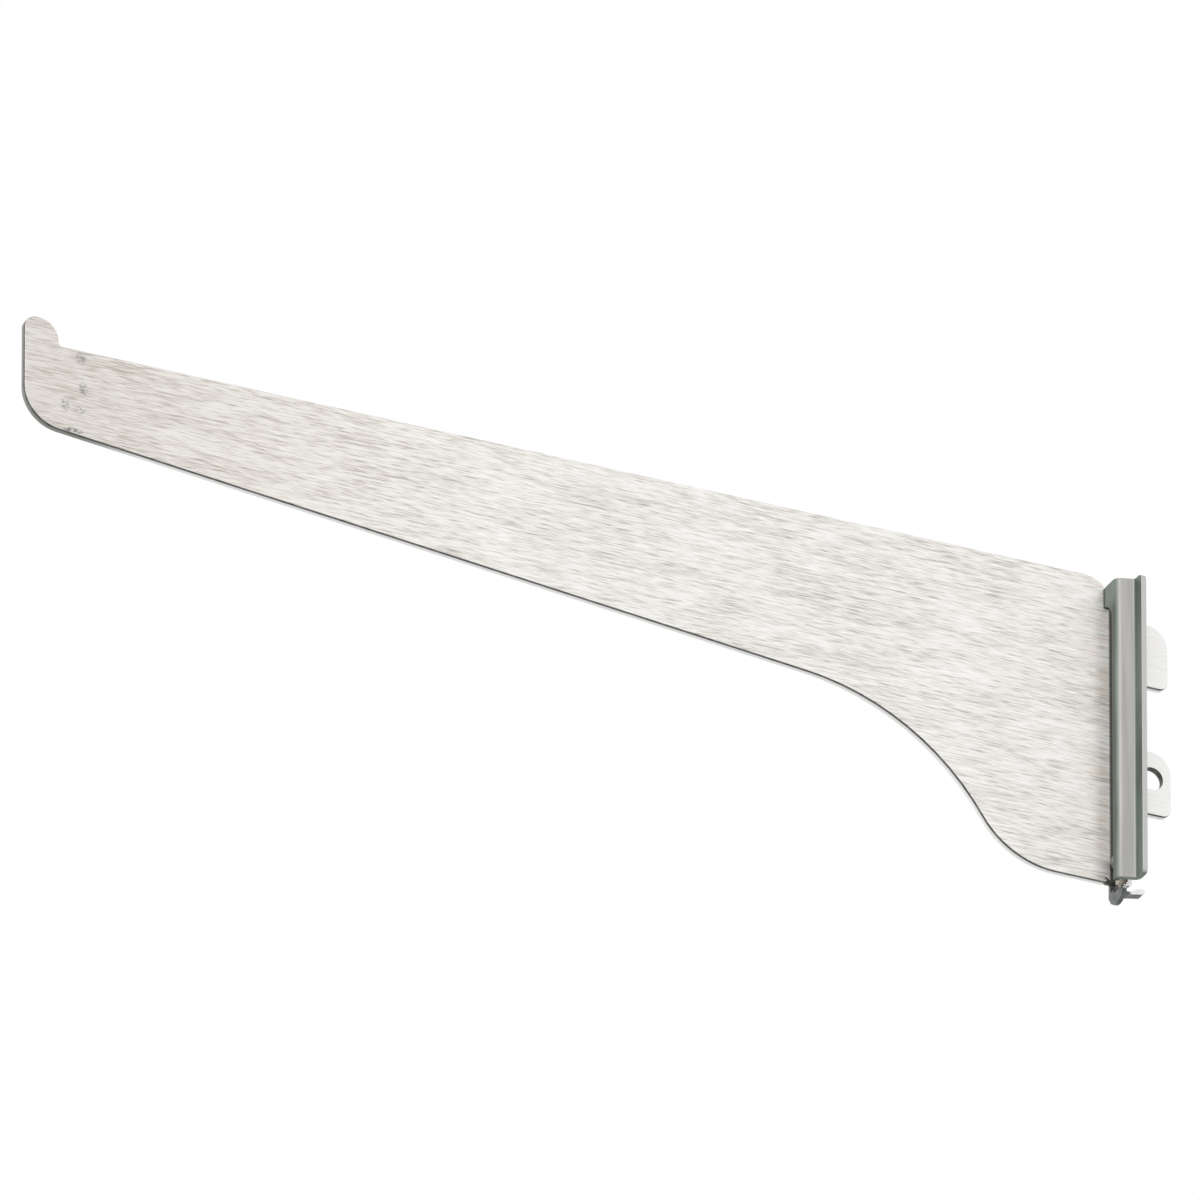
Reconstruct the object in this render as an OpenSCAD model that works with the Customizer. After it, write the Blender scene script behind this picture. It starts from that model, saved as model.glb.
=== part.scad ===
// Slotted shelf bracket: a flat tapered steel blade with two hooks, a folded
// saddle that bears on the slotted standard, and a folded lock lever with a
// nylon cam that turns on a pin at the blade's heel.
// Origin: the blade's centre plane, on the face of the standard, at shelf height.
// +X points into the wall, -X runs out along the arm, +Z is up. Millimetres.

/* [Blade] */
// Thickness of the blade sheet
blade_t = 1.5; // [1.2:0.1:2]
// Reach from the standard's face to the blade's front end
reach = 214.2; // [150:0.1:320]
// Depth of the arm at its front end
front_h = 15.8; // [13:0.1:20]
// Depth of the arm where the sweep begins
root_h = 31.7; // [28:0.1:34]
// Distance from the standard at which the sweep begins
sweep_run = 62.4; // [58:0.1:75]
// Radius of the hollow sweep
hollow_r = 46; // [42:0.5:50]
// Radius of the round heel
heel_r = 17; // [15:0.5:18]
// Depth of the heel below the shelf edge
heel_h = 60.9; // [59:0.1:62]
// Radius of the lower front corner
front_r = 7.5; // [3:0.1:8]
// Radius of the top rear corner
shoulder_r = 6; // [5:0.1:8]
// Length of the top rear corner in front of the saddle
shoulder_run = 4.2; // [3:0.1:4.8]

/* [Shelf stop] */
// Height of the stop above the shelf edge
stop_h = 4.9; // [4.9:0.1:8]
// Length of the stop along the arm
stop_w = 6.5; // [6.3:0.1:10]
// Radius of the stop's front top corner
stop_front_r = 2.3; // [1:0.1:2.3]
// Radius of the stop's back top corner
stop_back_r = 4; // [1:0.1:4]
// Radius of the fillet at the stop's foot
stop_foot_r = 0.8; // [0.4:0.1:0.9]

/* [Hooks] */
// Distance between the slots of the standard
slot_pitch = 25.4; // [20:0.1:26]
// Depth of the upper hook's bottom edge below the shelf edge
hook_drop = 19.9; // [19:0.1:21]
// Height of a hook
hook_h = 12.4; // [11.5:0.1:12.6]
// Reach of the upper hook behind the standard's face
upper_reach = 8; // [7.5:0.1:10]
// Reach of the lower hook behind the standard's face
lower_reach = 8.5; // [8.5:0.1:10]
// Radius of the upper hook's top corner
upper_r = 4.4; // [2:0.1:5]
// Radius of the lower hook's top corner
lower_r = 4; // [2:0.1:4]
// Radius of a hook's tip corner
tip_r = 1.6; // [0.5:0.1:2]
// Width of the gap that grips the standard's wall
grip_w = 1.9; // [1.6:0.1:2.1]
// Height of that gap
grip_h = 4.5; // [3:0.1:4.6]
// Radius of the eye in the lower hook
eye_r = 2.2; // [1:0.1:2.3]
// Distance of the eye behind the standard's face
eye_x = 4.75; // [4.7:0.05:5]
// Height of the eye above the lower hook's bottom edge
eye_rise = 7.1; // [7:0.1:7.5]

/* [Saddle] */
// Thickness of the saddle sheet
saddle_t = 1; // [0.8:0.1:1]
// Depth from the crown's face to the standard
saddle_d = 4.4; // [4.4:0.1:4.6]
// Distance of the saddle's top edge below the shelf edge
saddle_drop = 2.1; // [1.8:0.1:2.5]
// Length of the saddle below the heel
saddle_over = 1.4; // [0.5:0.1:2]
// Width over the crown
crown_w = 10.9; // [10.8:0.1:11.4]
// Width over the walls where they meet the lips
foot_w = 12.8; // [12.4:0.1:13.2]
// Width over the lips
saddle_w = 17.8; // [17:0.1:20]
// Middle radius of the folds
fold_r = 1; // [0.6:0.1:1]
// Height of the closed bridge over the slot
bridge_h = 3.8; // [3:0.1:5]
// Width of the slot that the blade passes through
slot_w = 7.5; // [7.2:0.1:7.6]
// Radius of the lips' outer corners
lip_r = 1.3; // [0.5:0.1:1.5]

/* [Lock lever] */
// Thickness of the lever sheet
lever_t = 0.8; // [0.6:0.1:0.8]
// Width over the lever's cheeks
lever_w = 6.2; // [6.2:0.1:6.4]
// Distance of the pin in front of the standard's face
pin_in = 2.4; // [2.4:0.05:2.5]
// Height of the pin above the heel
pin_rise = 3.3; // [3.3:0.05:3.4]
// Radius of the pin
pin_r = 1; // [0.8:0.05:1]
// Radius of the pin's heads
head_r = 1.5; // [1.3:0.1:1.7]
// Radius of the cheeks round the pin
lug_r = 1.8; // [1.6:0.1:1.9]
// Depth of the cheeks below the pin
cheek_h = 4.6; // [4.5:0.1:4.8]
// Width of the notch in the tab that clears the heel
tab_gap_w = 2; // [1.8:0.1:2.2]
// Width of the tooth
tooth_w = 1.8; // [1.4:0.1:2]

/* [Cam] */
// Radius of the cam round the pin
cam_r = 1.9; // [1.6:0.1:1.9]
// Radius of the cam's lower front corner
cam_corner_r = 1.2; // [0.5:0.1:1.4]

/* [Clearances] */
// Gap behind the blade's rear edge when the lips bear on the standard
rear_gap = 0.3; // [0.2:0.05:0.4]
// Gap between the bridge and the sides of its notch in the blade
seat_gap = 0.05; // [0.02:0.01:0.1]
// Gap between cheeks, cam, blade and pin heads, side to side
side_gap = 0.1; // [0.05:0.01:0.1]
// Radial running gap of the lever and cam on the pin
run_gap = 0.05; // [0.02:0.01:0.1]
// Radial gap of the pin in the blade
pin_gap = 0.02; // [0.01:0.01:0.05]
// Gap between the cam's bottom and the tab
cam_seat = 0.05; // [0.02:0.01:0.1]
// Gap between the pin's heads and the edges of the saddle's slot
head_gap = 0.15; // [0.1:0.01:0.2]

/* [Hidden] */
$fn = 48;
arc_n = 12;
bend_n = 6;
over = 1;
steel = [0.80, 0.78, 0.76];
plated = [0.64, 0.64, 0.62];
dark = [0.36, 0.38, 0.37];
cream = [0.90, 0.86, 0.74];

// The arm's outline
front_x = -reach;
crown_x = -saddle_d;
crown_back = crown_x + saddle_t;
taper = atan((root_h - front_h) / (reach - sweep_run));
hollow_c = [-sweep_run - hollow_r * sin(taper), -root_h - hollow_r * cos(taper)];
heel_cz = heel_r - heel_h;
heel_dx = sqrt(pow(hollow_r + heel_r, 2) - pow(heel_cz - hollow_c[1], 2));
heel_c = [hollow_c[0] + heel_dx, heel_cz];
join_a = atan2(heel_c[1] - hollow_c[1], heel_c[0] - hollow_c[0]);
front_cz = front_r / cos(taper) - front_h - front_r * tan(taper);
shoulder_a = acos((shoulder_run - seat_gap) / shoulder_r);

// The bridge's notch in the blade, and the slot under the bridge
bridge_z = -saddle_drop - bridge_h;
notch_z = bridge_z - 3 * seat_gap;
tab_top = -saddle_drop - 0.5;
saddle_low = -heel_h - saddle_over;
lower_drop = hook_drop + slot_pitch;

// The pin and what turns on it
pin_c = [-pin_in, pin_rise - heel_h];
nose_r = 3;
nose_a0 = -acos((crown_x - pin_c[0]) / nose_r);
nose_a1 = -acos((-rear_gap - pin_c[0]) / nose_r);
head_t = slot_w / 2 - head_gap - lever_w / 2 - side_gap;
cheek_in = lever_w / 2 - lever_t;
cam_out = cheek_in - side_gap;
cam_in = blade_t / 2 + side_gap;
cheek_front = pin_c[0] + 0.4;
cheek_back = pin_c[0] + 2.1;
cheek_low = pin_c[1] - cheek_h;
cheek_r = 1;
web_x = cheek_front + lever_t;
web_z = pin_c[1] - 3.6;

// Points of an arc round c, from angle a0 to angle a1
function arc(c, r, a0, a1) =
    [for (i = [0:arc_n]) let (a = a0 + (a1 - a0) * i / arc_n) c + r * [cos(a), sin(a)]];

// A strip of bent sheet: its middle line p, bend radius r and thickness t
function unit(v) = v / norm(v);
function left(v) = [-v[1], v[0]];
function turned(v, a) = [v[0] * cos(a) - v[1] * sin(a), v[0] * sin(a) + v[1] * cos(a)];
function bend(a, b, c, r, s) =
    let (u = unit(b - a), v = unit(c - b), t = atan2(cross(u, v), u * v), way = sign(t))
    let (centre = b - u * r * tan(abs(t) / 2) + way * r * left(u))
    [for (i = [0:bend_n]) centre + turned(-way * (r - way * s) * left(u), t * i / bend_n)];
function side(p, r, s) =
    let (last = len(p) - 1)
    concat(
        [p[0] + s * left(unit(p[1] - p[0]))],
        [for (i = [1:last - 1]) each bend(p[i - 1], p[i], p[i + 1], r, s)],
        [p[last] + s * left(unit(p[last] - p[last - 1]))]
    );
function reversed(p) = [for (i = [len(p) - 1:-1:0]) p[i]];
function strip(p, r, t) = concat(side(p, r, t / 2), reversed(side(p, r, -t / 2)));

// Stands an outline drawn in X and Z up as a plate between y0 and y1
module plate(y0, y1) {
    translate([0, y1, 0]) rotate([90, 0, 0]) linear_extrude(y1 - y0) children();
}

// Puts a plate on each side of the blade
module both_sides(y0, y1) {
    plate(y0, y1) children();
    plate(-y1, -y0) children();
}

// A round bar along Y
module bar(c, r, length) {
    translate([c[0], 0, c[1]]) rotate([90, 0, 0]) cylinder(r = r, h = length, center = true);
}

module arm_outline() {
    polygon(concat(
        arc([front_x + front_r, front_cz], front_r, 180, 270 - taper),
        arc(hollow_c, hollow_r, 90 - taper, join_a),
        arc(heel_c, heel_r, 180 + join_a, 270),
        [[crown_x, -heel_h]],
        arc(pin_c, nose_r, nose_a0, nose_a1),
        [[-rear_gap, tab_top]],
        [[crown_back + seat_gap, tab_top]],
        [[crown_back + seat_gap, notch_z]],
        [[crown_x - seat_gap, notch_z]],
        arc([crown_x - shoulder_run, -shoulder_r], shoulder_r, shoulder_a, 90),
        arc([front_x + stop_w + stop_foot_r, stop_foot_r], stop_foot_r, 270, 180),
        arc([front_x + stop_w - stop_back_r, stop_h - stop_back_r], stop_back_r, 0, 90),
        arc([front_x + stop_front_r, stop_h - stop_front_r], stop_front_r, 90, 180)
    ));
}

// A hook with its bottom edge at z
module hook_outline(z, length, top_r) {
    translate([0, z]) polygon(concat(
        [[-2 * rear_gap, grip_h], [grip_w, grip_h], [grip_w, 0]],
        arc([length - tip_r, tip_r], tip_r, 270, 360),
        arc([length - top_r, hook_h - top_r], top_r, 0, 90),
        [[-2 * rear_gap, hook_h]]
    ));
}

module blade() {
    color(steel) difference() {
        plate(-blade_t / 2, blade_t / 2) union() {
            arm_outline();
            hook_outline(-hook_drop, upper_reach, upper_r);
            hook_outline(-lower_drop, lower_reach, lower_r);
        }
        bar([eye_x, eye_rise - lower_drop], eye_r, blade_t + 2 * over);
        bar(pin_c, pin_r + pin_gap, blade_t + 2 * over);
    }
}

// The saddle's section, drawn in X and Y
module saddle_section() {
    lip_x = -saddle_t / 2;
    crown_mid = crown_x + saddle_t / 2;
    foot_y = (foot_w - saddle_t) / 2;
    crown_y = (crown_w - saddle_t) / 2;
    polygon(strip([
        [lip_x, saddle_w / 2],
        [lip_x, foot_y],
        [crown_mid, crown_y],
        [crown_mid, -crown_y],
        [lip_x, -foot_y],
        [lip_x, -saddle_w / 2]
    ], fold_r, saddle_t));
}

// The saddle seen from the front, with rounded corners on its lips
module saddle_front() {
    y = saddle_w / 2 - lip_r;
    low = saddle_low + lip_r;
    high = -saddle_drop - lip_r;
    polygon(concat(
        arc([y, high], lip_r, 0, 90),
        arc([-y, high], lip_r, 90, 180),
        arc([-y, low], lip_r, 180, 270),
        arc([y, low], lip_r, 270, 360)
    ));
}

module saddle() {
    slot_top = bridge_z - slot_w / 2;
    color(plated) difference() {
        intersection() {
            translate([0, 0, saddle_low - over])
                linear_extrude(-saddle_drop - saddle_low + 2 * over) saddle_section();
            translate([crown_x - over, 0, 0]) rotate([90, 0, 90])
                linear_extrude(saddle_d + 2 * over) saddle_front();
        }
        // The slot, round at its top and open at the foot
        translate([crown_x - over, 0, 0]) rotate([90, 0, 90])
            linear_extrude(saddle_t + 1.5 * over) union() {
                translate([0, slot_top]) circle(slot_w / 2);
                translate([-slot_w / 2, saddle_low - over])
                    square([slot_w, slot_top - saddle_low + over]);
            }
    }
}

module cheek_outline() {
    polygon(concat(
        [[cheek_front, pin_c[1]], [cheek_front, cheek_low]],
        arc([cheek_back - cheek_r, cheek_low + cheek_r], cheek_r, 270, 360),
        [[cheek_back, pin_c[1] - lug_r], [pin_c[0] + lug_r, pin_c[1]]]
    ));
}

// The thumb tab from the front, cut away at its middle to clear the heel
module tab_front() {
    difference() {
        polygon(arc([0, web_z], lever_w / 2, 180, 360));
        translate([-tab_gap_w / 2, web_z - 0.65]) square([tab_gap_w, 0.65 + over]);
    }
}

// The tooth, measured from the pin
module tooth_outline() {
    translate(pin_c) polygon([
        [0.8, -4.3],
        [2.8, -4.3],
        [4.2, -3.4],
        [5.4, -3.3],
        [5.7, -3.8],
        [5.2, -4.35],
        [2.8, -4.8],
        [1.2, -5.3],
        [0.8, -5.3]
    ]);
}

module lock_lever() {
    color(dark) difference() {
        union() {
            both_sides(cheek_in, lever_w / 2) union() {
                translate(pin_c) circle(lug_r);
                cheek_outline();
            }
            translate([cheek_front, 0, 0]) rotate([90, 0, 90])
                linear_extrude(lever_t) tab_front();
            plate(-tooth_w / 2, tooth_w / 2) tooth_outline();
        }
        bar(pin_c, pin_r + run_gap, lever_w + 2 * over);
    }
}

module cam_outline() {
    low = web_z + cam_seat;
    front = pin_c[0] - cam_r;
    back = pin_c[0] + cam_r;
    polygon(concat(
        [[front, pin_c[1]]],
        arc([front + cam_corner_r, low + cam_corner_r], cam_corner_r, 180, 270),
        [[back, low], [back, pin_c[1]]]
    ));
}

module cam() {
    color(cream) difference() {
        union() {
            both_sides(cam_in, cam_out) union() {
                translate(pin_c) circle(cam_r);
                cam_outline();
            }
            // The web behind the blade's nose that joins the two halves
            translate([pin_c[0] + 1.2, -cam_out, web_z + cam_seat])
                cube([cam_r - 1.2, 2 * cam_out, 0.6]);
        }
        bar(pin_c, pin_r + run_gap, lever_w + 2 * over);
    }
}

module lever_pin() {
    shaft = lever_w / 2 + side_gap + head_t;
    color(dark) union() {
        bar(pin_c, pin_r, 2 * shaft);
        for (y = [-1, 1])
            translate([0, y * (shaft - head_t / 2), 0]) bar(pin_c, head_r, head_t);
    }
}

blade();
saddle();
lock_lever();
cam();
lever_pin();
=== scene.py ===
# %% [markdown]
# # Slotted shelf bracket
# A flat steel blade carries the shelf, a folded saddle bears on the slotted
# standard, and a small folded lever with a nylon cam sits at the heel.
# The shapes come from the CAD part, so this lesson is about edges, metal
# finishes and light.

# %% Load the frame
import math
import bpy
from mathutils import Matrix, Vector


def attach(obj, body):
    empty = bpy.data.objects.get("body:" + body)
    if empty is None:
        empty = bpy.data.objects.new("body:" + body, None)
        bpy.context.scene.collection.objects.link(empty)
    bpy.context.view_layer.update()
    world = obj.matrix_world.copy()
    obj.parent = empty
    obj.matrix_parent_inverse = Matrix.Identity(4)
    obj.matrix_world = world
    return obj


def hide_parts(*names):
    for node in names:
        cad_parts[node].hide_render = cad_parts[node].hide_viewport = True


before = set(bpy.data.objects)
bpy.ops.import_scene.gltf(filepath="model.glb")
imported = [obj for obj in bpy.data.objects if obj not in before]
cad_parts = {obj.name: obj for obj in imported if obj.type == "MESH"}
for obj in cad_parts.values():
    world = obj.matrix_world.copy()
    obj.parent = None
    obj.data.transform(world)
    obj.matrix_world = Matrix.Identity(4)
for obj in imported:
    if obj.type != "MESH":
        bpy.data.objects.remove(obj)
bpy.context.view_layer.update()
MM = 0.001
print("nodes:", sorted(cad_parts))

# %% [markdown]
# ## The camera
# The photograph looks at the bracket from its near side, from the front and
# below. Its upright lines stay parallel, so it was taken from far away with a
# long lens. At three metres the ends of the bracket still shift by a few
# pixels, so the camera stands nine metres off with a very narrow view.

# %% Place the camera
AIM = Vector((-102.5, 0, -26.4)) * MM
AZIMUTH = math.radians(-25)
ELEVATION = math.radians(-28.3)
DISTANCE = 9.0
SENSOR_MM = 36
VIEW_WIDTH = 0.2113

back = Vector((
    math.sin(AZIMUTH) * math.cos(ELEVATION),
    -math.cos(AZIMUTH) * math.cos(ELEVATION),
    math.sin(ELEVATION),
))
bpy.ops.object.select_all(action="DESELECT")
bpy.ops.object.camera_add(location=AIM + back * DISTANCE)
camera = bpy.context.object
camera.name = "photo_camera"
camera.rotation_euler = (-back).to_track_quat("-Z", "Y").to_euler()
camera.data.sensor_width = SENSOR_MM
camera.data.lens = SENSOR_MM * DISTANCE / VIEW_WIDTH
camera.data.clip_end = 50
bpy.context.scene.camera = camera
print("lens in mm:", round(camera.data.lens, 1))

# %% [markdown]
# ## Sheet metal edges
# Stamped and folded sheet never has a perfectly sharp corner. A narrow bevel
# lets each edge catch a thin line of light. The CAD mesh is loose triangles,
# so each copy is merged and its flat faces are joined before the bevel. Only the
# steps of a curve are shaded smooth, so the big faces look flat right up to
# their bevels. The copy stands for the node, and rides on the same body.

# %% A helper that softens the edges of a node
SHARP_ANGLE = math.radians(35)
SMOOTH_ANGLE = math.radians(16)
FLAT_ANGLE = math.radians(0.5)
MERGE_MM = 0.001
BEVEL_STEPS = 2


def trim(piece, low_mm, high_mm):
    """Cuts the box between two corners out of a piece."""
    low, high = Vector(low_mm) * MM, Vector(high_mm) * MM
    bpy.ops.object.select_all(action="DESELECT")
    bpy.ops.mesh.primitive_cube_add(size=1, location=(low + high) / 2)
    block = bpy.context.object
    block.scale = high - low
    bpy.context.view_layer.update()
    cut = piece.modifiers.new("trim", "BOOLEAN")
    cut.operation = "DIFFERENCE"
    cut.solver = "EXACT"
    cut.object = block
    bpy.context.view_layer.objects.active = piece
    bpy.ops.object.modifier_apply(modifier="trim")
    bpy.data.objects.remove(block)


def soften(node, body, width_mm, cuts=()):
    """Makes a trimmed, bevelled copy of a CAD node that stands for it."""
    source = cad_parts[node]
    piece = bpy.data.objects.new(node + "_sheet", source.data.copy())
    bpy.context.scene.collection.objects.link(piece)
    piece.data.materials.clear()
    bpy.ops.object.select_all(action="DESELECT")
    piece.select_set(True)
    bpy.context.view_layer.objects.active = piece
    bpy.ops.object.mode_set(mode="EDIT")
    bpy.ops.mesh.select_all(action="SELECT")
    bpy.ops.mesh.remove_doubles(threshold=MERGE_MM * MM)
    bpy.ops.mesh.customdata_custom_splitnormals_clear()
    bpy.ops.object.mode_set(mode="OBJECT")
    for cut in cuts:
        trim(piece, *cut)
    bpy.ops.object.select_all(action="DESELECT")
    piece.select_set(True)
    bpy.context.view_layer.objects.active = piece
    bpy.ops.object.mode_set(mode="EDIT")
    bpy.ops.mesh.select_all(action="SELECT")
    bpy.ops.mesh.dissolve_limited(angle_limit=FLAT_ANGLE)
    bpy.ops.object.mode_set(mode="OBJECT")
    bevel = piece.modifiers.new("soft_edge", "BEVEL")
    bevel.width = width_mm * MM
    bevel.segments = BEVEL_STEPS
    bevel.limit_method = "ANGLE"
    bevel.angle_limit = SHARP_ANGLE
    bevel.use_clamp_overlap = True
    bevel.loop_slide = False
    bpy.ops.object.modifier_apply(modifier="soft_edge")
    bpy.ops.object.shade_smooth_by_angle(angle=SMOOTH_ANGLE)
    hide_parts(node)
    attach(piece, body)
    print(piece.name, len(piece.data.polygons), "faces")
    return piece


# %% [markdown]
# ## Forms that the photograph asks for
# Seen from below, the saddle's far leg doesn't reach under the heel, so it is
# cut short there. The cam shows only as a small cream patch under the near
# wall, in front of the near cheek. So the cam's front and its far lower half
# are trimmed back, and the near cheek and the tab have a notch in front of the
# patch. A filled bisect would leave the cam's pin hole open, so an exact
# boolean takes a box away at each place.

# %% Soften and trim each piece
FAR_LEG_END = -54.5
NEAR_LEG_END = -62.0
CAM_FRONT = -2.5
CAM_FAR_END = -58.7
OUT, BELOW, ABOVE = 20, -80, -40
far_leg_box = ((-OUT, 1, BELOW), (OUT, OUT, FAR_LEG_END))
near_leg_box = ((-OUT, -OUT, BELOW), (OUT, 1, NEAR_LEG_END))
cam_front_box = ((-OUT, -OUT, BELOW), (CAM_FRONT, OUT, ABOVE))
cam_far_box = ((-OUT, 0.5, BELOW), (OUT, OUT, CAM_FAR_END))
cheek_boxes = [
    ((-2.5, -5, -61.4), (-1.2, -2.2, -59.6)),
    ((-2.5, -5, -61.9), (-1.5, -0.4, -61.0)),
]

blade = soften("blade", "bracket", 0.12)
saddle = soften("saddle", "bracket", 0.10, [far_leg_box, near_leg_box])
lever = soften("lock_lever", "lever", 0.06, cheek_boxes)
cam = soften("cam", "lever", 0.05, [cam_front_box, cam_far_box])
pin = soften("lever_pin", "bracket", 0.10)

# %% [markdown]
# ## Building finishes from nodes
# Every finish below reads Object coordinates, which are metres in the part's
# own frame. The pattern so stays on the metal when the lever swings. A few
# short helpers keep the node trees readable.

# %% Node helpers


def new_material(name):
    """A material, its nodes, its links and its main shader."""
    material = bpy.data.materials.new(name)
    material.use_nodes = True
    tree = material.node_tree
    return material, tree, tree.nodes["Principled BSDF"]


def stretched_noise(tree, stretch, detail=4.0):
    """Noise on Object coordinates, stretched by a scale along each axis."""
    place = tree.nodes.new("ShaderNodeTexCoord")
    mapping = tree.nodes.new("ShaderNodeMapping")
    mapping.inputs["Scale"].default_value = stretch
    noise = tree.nodes.new("ShaderNodeTexNoise")
    noise.inputs["Scale"].default_value = 1.0
    noise.inputs["Detail"].default_value = detail
    tree.links.new(place.outputs["Object"], mapping.inputs["Vector"])
    tree.links.new(mapping.outputs["Vector"], noise.inputs["Vector"])
    return noise.outputs["Fac"]


def ramp(tree, value, stops):
    """Turns a number into a colour by a list of (place, grey or colour)."""
    node = tree.nodes.new("ShaderNodeValToRGB")
    elements = node.color_ramp.elements
    while len(elements) < len(stops):
        elements.new(0.5)
    for element, (place, colour) in zip(elements, stops):
        element.position = place
        element.color = (*colour, 1.0)
    tree.links.new(value, node.inputs["Fac"])
    return node.outputs["Color"]


def math_node(tree, operation, first, second):
    """A Math node whose inputs are sockets or numbers."""
    node = tree.nodes.new("ShaderNodeMath")
    node.operation = operation
    for socket, value in zip(node.inputs, (first, second)):
        if isinstance(value, (int, float)):
            socket.default_value = value
        else:
            tree.links.new(value, socket)
    return node.outputs["Value"]


def map_range(tree, value, low, high):
    """0 at low and 1 at high, held between the two."""
    node = tree.nodes.new("ShaderNodeMapRange")
    node.interpolation_type = "SMOOTHSTEP"
    node.inputs["From Min"].default_value = low
    node.inputs["From Max"].default_value = high
    tree.links.new(value, node.inputs["Value"])
    return node.outputs["Result"]


def mix(tree, factor, first, second, blend="MIX"):
    """Mixes two colours, each a socket or three numbers."""
    node = tree.nodes.new("ShaderNodeMix")
    node.data_type = "RGBA"
    node.blend_type = blend
    colour_inputs = [s for s in node.inputs if s.type == "RGBA"]
    if isinstance(factor, (int, float)):
        node.inputs[0].default_value = factor
    else:
        tree.links.new(factor, node.inputs[0])
    for socket, value in zip(colour_inputs, (first, second)):
        if isinstance(value, tuple):
            socket.default_value = (*value, 1.0)
        else:
            tree.links.new(value, socket)
    return [s for s in node.outputs if s.type == "RGBA"][0]


def place_xyz(tree, output="Object"):
    """X, Y and Z of the surface point, or of its normal."""
    source = tree.nodes.new("ShaderNodeTexCoord")
    split = tree.nodes.new("ShaderNodeSeparateXYZ")
    tree.links.new(source.outputs[output], split.inputs["Vector"])
    return split.outputs["X"], split.outputs["Y"], split.outputs["Z"]


def bump(tree, shader, height, strength, distance_mm):
    """Gives a shader fine relief from a height."""
    node = tree.nodes.new("ShaderNodeBump")
    node.inputs["Strength"].default_value = strength
    node.inputs["Distance"].default_value = distance_mm * MM
    tree.links.new(height, node.inputs["Height"])
    tree.links.new(node.outputs["Normal"], shader.inputs["Normal"])


def times(tree, first, second):
    """The product of two sockets or numbers."""
    return math_node(tree, "MULTIPLY", first, second)


def plus(tree, first, second):
    """The sum of two sockets or numbers."""
    return math_node(tree, "ADD", first, second)


def size_of(tree, value):
    """A value without its sign."""
    return math_node(tree, "ABSOLUTE", value, 0)


def zone(tree, value, zero_mm, one_mm):
    """0 at one place and 1 at another, both in millimetres."""
    return map_range(tree, value, zero_mm * MM, one_mm * MM)


def oval(tree, x, z, centre_mm, half_mm):
    """The squared distance from a centre in X and Z: 1 on the oval's rim."""
    squares = []
    for value, centre, half in zip((x, z), centre_mm, half_mm):
        offset = math_node(tree, "SUBTRACT", value, centre * MM)
        offset = math_node(tree, "DIVIDE", offset, half * MM)
        squares.append(times(tree, offset, offset))
    return plus(tree, *squares)


def vary_roughness(tree, shader, pattern, gain, base):
    """Lets a pattern vary how rough a shader is."""
    tree.links.new(plus(tree, times(tree, pattern, gain), base), shader.inputs["Roughness"])


# %% [markdown]
# ## Brushed zinc on the blade
# The blade is brushed along its length before it is cut out, so the grain runs
# along X and is much finer across. Three layers of stretched noise make it:
# hair-fine scratches, broader streaks, and faint patches.

# %% Make the grain
brushed, tree, shader = new_material("brushed_zinc")
hair = stretched_noise(tree, (330, 330, 6500), 3.0)
streak = stretched_noise(tree, (110, 110, 2300), 3.0)
patch = stretched_noise(tree, (45, 45, 260), 3.0)
grain = plus(tree, times(tree, hair, 0.54), times(tree, streak, 0.30))
grain = plus(tree, grain, times(tree, patch, 0.16))
face_colour = ramp(tree, grain, [
    (0.37, (0.50, 0.475, 0.44)),
    (0.46, (0.78, 0.755, 0.72)),
    (0.53, (0.93, 0.92, 0.90)),
    (0.62, (0.99, 0.99, 0.98)),
])

# %% [markdown]
# ## Shade, rust and scuffs
# The colour is a little darker and warmer towards the front end. The hooks are
# made the brightest with painted light. A faint tan bloom of rust runs down the
# blade just in front of the saddle. A few small dark scuffs sit near the front
# end on the near side. Each is a soft oval, broken up by fine noise so that it
# looks rubbed.

# %% Shade the length and add the rust
HOOK_PAINTED_LIGHT = (1.0, 0.995, 0.985)
RUST = (0.62, 0.44, 0.27)

x, y, z = place_xyz(tree)
shade = ramp(tree, zone(tree, x, -214, -110), [
    (0.0, (0.82, 0.79, 0.76)),
    (0.14, (0.885, 0.86, 0.83)),
    (0.53, (0.94, 0.915, 0.89)),
    (0.80, (0.99, 0.975, 0.95)),
    (1.0, (1.0, 0.99, 0.975)),
])
face_colour = mix(tree, 1.0, face_colour, shade, "MULTIPLY")
# painted light: the hooks are lifted towards white
hooks = times(tree, zone(tree, x, 0.5, 1.5), 0.8)
face_colour = mix(tree, hooks, face_colour, HOOK_PAINTED_LIGHT)
near_saddle = times(tree, zone(tree, x, -11, -4.6), zone(tree, x, -2.5, -4.0))
rust_spots = map_range(tree, stretched_noise(tree, (160, 160, 420), 5.0), 0.46, 0.66)
rust = times(tree, times(tree, near_saddle, rust_spots), 0.27)
face_colour = mix(tree, rust, face_colour, RUST)

# %% Add the scuffs
# Each is the centre's X and Z, the half length and half height, and its depth
SCUFFS_MM = [
    (-203.4, -1.6, 1.3, 1.5, 0.60),
    (-202.9, -7.6, 1.0, 1.6, 0.65),
    (-206.4, -11.4, 0.9, 1.7, 0.70),
    (-203.6, -12.0, 1.5, 1.0, 0.50),
    (-204.8, -16.3, 2.4, 0.7, 0.90),
]
SCUFF = (0.20, 0.20, 0.22)

rub_and_highlight = map_range(tree, stretched_noise(tree, (1500, 1500, 2600), 3.0), 0.42, 0.58)
near_side = math_node(tree, "LESS_THAN", y, 0.0)
for centre_x, centre_z, half_x, half_z, depth in SCUFFS_MM:
    distance = oval(tree, x, z, (centre_x, centre_z), (half_x, half_z))
    spot = times(tree, map_range(tree, distance, 1.0, 0.1), rub_and_highlight)
    spot = times(tree, spot, near_side)
    face_colour = mix(tree, times(tree, spot, depth), face_colour, SCUFF)
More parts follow.
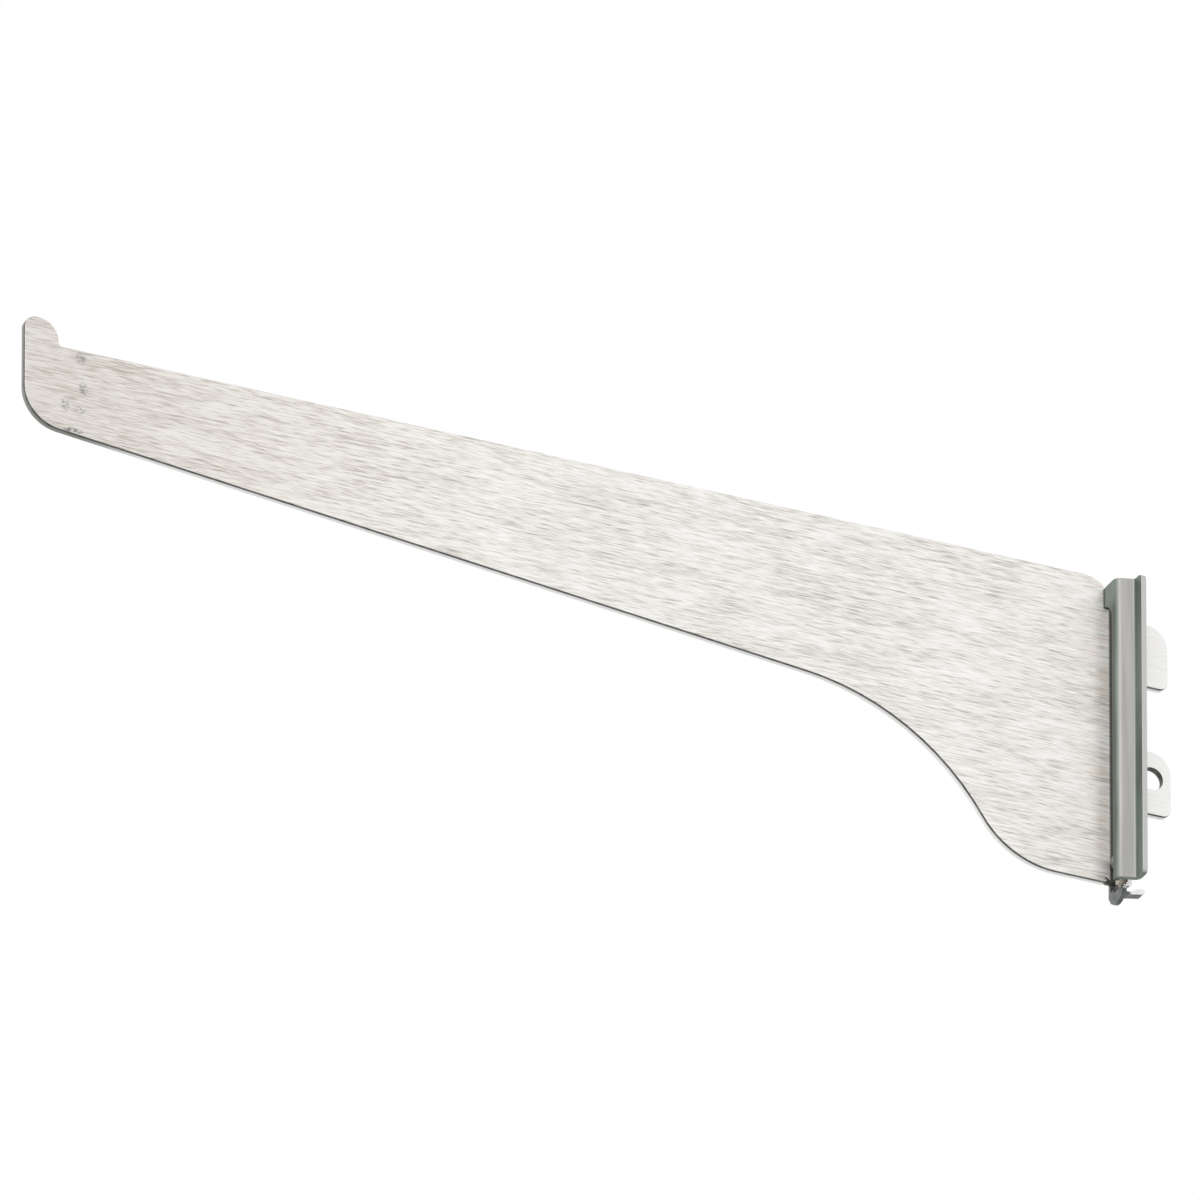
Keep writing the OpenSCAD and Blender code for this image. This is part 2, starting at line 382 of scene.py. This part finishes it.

# %% [markdown]
# ## Cut edges and painted shade
# A press shears the outline, which leaves a dark torn band and a bright
# burnished one on each cut edge. The dark band is partly that sheared finish and
# partly painted shade, as the edges face away from the light. The normal tells
# those edges from the flat faces. The burnished band is greyer at the front end,
# and the eye's wall is dark all through as painted shade. What lies inside the
# saddle is painted dark: painted shade where the saddle hides the blade.

# %% Finish the blade's metal
EYE_MM = (4.75, -38.2)
EYE_RIM_MM = (2.6, 2.6)
# painted shade: near black for the blade inside the saddle
INSIDE_SHADE = (0.035, 0.04, 0.035)

normal_y = place_xyz(tree, "Normal")[1]
flat = map_range(tree, size_of(tree, normal_y), 0.55, 0.9)
# partly sheared finish, partly painted shade on edges facing away from the light; the eye's
# wall takes it all through
torn_and_shade = ramp(tree, stretched_noise(tree, (700, 1400, 700), 3.0), [
    (0.35, (0.05, 0.05, 0.05)), (0.65, (0.18, 0.18, 0.17))])
outside_eye = map_range(tree, oval(tree, x, z, EYE_MM, EYE_RIM_MM), 0.95, 1.05)
burnished = times(tree, zone(tree, y, -0.35, 0.05), outside_eye)
polish = mix(tree, zone(tree, x, -204, -190), (0.33, 0.33, 0.30), (0.99, 0.99, 0.98))
edge_colour = mix(tree, burnished, torn_and_shade, polish)
before_wall = zone(tree, x, 0.1, -0.3)
# painted shade on the blade's faces and edges inside the saddle
face_inside_shade = times(tree, zone(tree, x, -3.7, -3.3), before_wall)
face_colour = mix(tree, times(tree, face_inside_shade, 0.92), face_colour, INSIDE_SHADE)
edge_inside_shade = times(tree, zone(tree, x, -4.0, -3.8), before_wall)
edge_colour = mix(tree, edge_inside_shade, edge_colour, INSIDE_SHADE)
blade_colour = mix(tree, flat, edge_colour, face_colour)
tree.links.new(blade_colour, shader.inputs["Base Color"])
shader.inputs["Metallic"].default_value = 0.55
vary_roughness(tree, shader, grain, 0.25, 0.32)
bump(tree, shader, grain, 0.25, 0.02)
blade.data.materials.append(brushed)
print("blade finish:", brushed.name)

# %% [markdown]
# ## Plated saddle
# The saddle is smooth plated sheet. Its colour is painted light and shade by
# facing: the front faces are painted dark as painted shade, and a little green,
# the side walls mid grey, and the lips' cut edges pale as painted highlight. The
# normal and the distance from the centre plane pick out the three. The crown
# beside the slot is painted a dark brown as painted shade.

# %% Make the saddle's finish
LIP_HIGHLIGHT = (0.56, 0.565, 0.55)
SLOT_SHADE = (0.075, 0.072, 0.055)

plated, tree, shader = new_material("plated_sheet")
x, y, z = place_xyz(tree)
normal_y = place_xyz(tree, "Normal")[1]
from_centre = size_of(tree, y)
side_on = map_range(tree, size_of(tree, normal_y), 0.45, 0.95)
cloud = stretched_noise(tree, (180, 180, 55), 4.0)
drawn = stretched_noise(tree, (900, 900, 40), 3.0)
# painted light and shade: front faces dark, side walls mid grey, picked by the normal
front_shade_colour = ramp(tree, cloud, [
    (0.35, (0.132, 0.168, 0.145)), (0.65, (0.252, 0.302, 0.27))])
wall_lit_colour = ramp(tree, drawn, [
    (0.35, (0.355, 0.348, 0.331)), (0.65, (0.425, 0.417, 0.397))])
saddle_colour = mix(tree, side_on, front_shade_colour, wall_lit_colour)
# painted highlight on the lips' cut edges
lip_highlight = times(tree, zone(tree, from_centre, 8.55, 8.8), side_on)
saddle_colour = mix(tree, lip_highlight, saddle_colour, LIP_HIGHLIGHT)
# painted shade: the crown beside the top of the slot is darkened
slot_rim_shade = times(tree, zone(tree, from_centre, 5.2, 4.4), zone(tree, z, -5.5, -8))
saddle_colour = mix(tree, times(tree, slot_rim_shade, 0.7), saddle_colour, SLOT_SHADE)
tree.links.new(saddle_colour, shader.inputs["Base Color"])
shader.inputs["Metallic"].default_value = 0.6
vary_roughness(tree, shader, cloud, 0.2, 0.3)
bump(tree, shader, drawn, 0.05, 0.02)
saddle.data.materials.append(plated)

# %% [markdown]
# ## Lever, cam and pin
# The lever is dark plated sheet, with a painted highlight on its near cheek and
# on the end of its tooth. The cam is plain cream nylon with a half gloss. The pin
# is painted near black as painted shade, so that it stays in the shade of the saddle.

# %% Make the small parts' finishes
# painted highlight for the near cheek and the tooth's end
LEVER_HIGHLIGHT = (0.95, 0.95, 0.95)

dark_plate, tree, shader = new_material("dark_plate")
tint = ramp(tree, stretched_noise(tree, (420, 420, 420), 5.0), [
    (0.35, (0.09, 0.10, 0.095)),
    (0.60, (0.17, 0.18, 0.17)),
    (0.80, (0.34, 0.34, 0.33)),
])
x, y, z = place_xyz(tree)
normal_y = place_xyz(tree, "Normal")[1]
side_on = map_range(tree, size_of(tree, normal_y), 0.6, 0.95)
# painted highlight: side-on faces of the near cheek and the tooth's end
near_cheek = times(tree, zone(tree, y, -2.6, -3.0), zone(tree, z, -62.7, -62.3))
tooth_end = zone(tree, x, 0.1, 0.7)
rub_and_highlight = times(tree, side_on, math_node(tree, "MAXIMUM", near_cheek, tooth_end))
tree.links.new(mix(tree, rub_and_highlight, tint, LEVER_HIGHLIGHT), shader.inputs["Base Color"])
shader.inputs["Metallic"].default_value = 0.6
rough = stretched_noise(tree, (900, 900, 900), 3.0)
vary_roughness(tree, shader, rough, 0.25, 0.25)
bump(tree, shader, rough, 0.15, 0.02)
lever.data.materials.append(dark_plate)

nylon, tree, shader = new_material("cream_nylon")
tint = ramp(tree, stretched_noise(tree, (250, 250, 250), 3.0), [
    (0.3, (0.72, 0.66, 0.50)), (0.7, (0.84, 0.79, 0.65))])
tree.links.new(tint, shader.inputs["Base Color"])
shader.inputs["Roughness"].default_value = 0.48
bump(tree, shader, stretched_noise(tree, (1500, 1500, 1500), 2.0), 0.08, 0.02)
cam.data.materials.append(nylon)

pin_painted_shade, tree, shader = new_material("pin_painted_shade")
# painted shade: the pin is near black
tint = ramp(tree, stretched_noise(tree, (600, 600, 600), 4.0), [
    (0.3, (0.04, 0.045, 0.042)), (0.7, (0.10, 0.105, 0.10))])
tree.links.new(tint, shader.inputs["Base Color"])
shader.inputs["Metallic"].default_value = 0.5
shader.inputs["Roughness"].default_value = 0.5
pin.data.materials.append(pin_painted_shade)

# %% [markdown]
# ## Floor, background and light
# The photograph has a plain white ground and is taken from below. The floor
# lies lower than any camera stands, or it would hide the bracket in a view from
# underneath. The world gives the white: camera, mirror and glass rays see it,
# while the light itself is kept at a plain level so that pale metal doesn't
# clip. Two soft lamps shape the folds of the saddle.

# %% Lay the floor
FLOOR_Z = -16
FLOOR_SIZE = 134
bpy.ops.object.select_all(action="DESELECT")
bpy.ops.mesh.primitive_plane_add(size=FLOOR_SIZE, location=(0, 0, FLOOR_Z))
floor = bpy.context.object
floor.name = "studio_floor"
pale_floor, tree, shader = new_material("pale_floor")
shader.inputs["Base Color"].default_value = (0.86, 0.86, 0.86, 1)
shader.inputs["Roughness"].default_value = 0.9
floor.data.materials.append(pale_floor)

# %% Set the world
LIGHT_STRENGTH = 0.80
WHITE_STRENGTH = 1.0

world = bpy.data.worlds.new("studio")
bpy.context.scene.world = world
world.use_nodes = True
tree = world.node_tree
tree.nodes.clear()
path = tree.nodes.new("ShaderNodeLightPath")
seen = path.outputs["Is Camera Ray"]
for other_ray in ("Is Transmission Ray", "Is Glossy Ray"):
    seen = math_node(tree, "MAXIMUM", seen, path.outputs[other_ray])
choose = tree.nodes.new("ShaderNodeMixShader")
output = tree.nodes.new("ShaderNodeOutputWorld")
tree.links.new(seen, choose.inputs["Fac"])
for socket, strength in zip(choose.inputs[1:], (LIGHT_STRENGTH, WHITE_STRENGTH)):
    background = tree.nodes.new("ShaderNodeBackground")
    background.inputs["Color"].default_value = (1, 1, 1, 1)
    background.inputs["Strength"].default_value = strength
    tree.links.new(background.outputs["Background"], socket)
tree.links.new(choose.outputs["Shader"], output.inputs["Surface"])

# %% Hang two soft lamps
LAMP_SIZE = 0.9


def soft_lamp(name, location, watts):
    """A square area lamp that faces the bracket."""
    bpy.ops.object.select_all(action="DESELECT")
    bpy.ops.object.light_add(type="AREA", location=location)
    lamp = bpy.context.object
    lamp.name = name
    lamp.data.size = LAMP_SIZE
    lamp.data.energy = watts
    lamp.rotation_euler = (AIM - Vector(location)).to_track_quat("-Z", "Y").to_euler()


soft_lamp("key_lamp", (-0.9, -1.3, 0.5), 5)
soft_lamp("back_lamp", (0.6, 1.2, 0.9), 4)

# %% Set the view transform
bpy.context.scene.view_settings.view_transform = "Standard"
